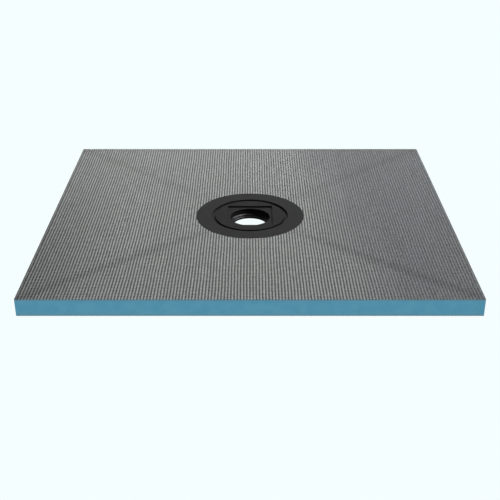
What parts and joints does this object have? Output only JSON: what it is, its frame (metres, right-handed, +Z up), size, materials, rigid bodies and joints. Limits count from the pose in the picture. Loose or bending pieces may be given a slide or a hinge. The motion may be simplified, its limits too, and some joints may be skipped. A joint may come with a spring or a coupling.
{
  "type": "tileable shower tray",
  "caption": "Flat foam-cored wet-room tray with mesh-reinforced cement coats, gentle falls from every edge to a round drain body, and a square grate recess over the outlet.",
  "frame": {"origin": "middle of the underside, on the floor", "axes": "+Z up, X along the longer side, front edge at -Y"},
  "size_m": [1, 0.9, 0.041],
  "materials": {
    "foam": "closed-cell foam, sawn edge",
    "cement_coat": "polymer cement over woven glass mesh",
    "drain_plastic": "fine moulded satin"
  },
  "bodies": {
    "root": {"foam_core": "foam", "top_coat": "cement_coat", "underside_coat": "cement_coat", "drain_body": "drain_plastic", "grate_seat": "drain_plastic"}
  },
  "joints": []
}
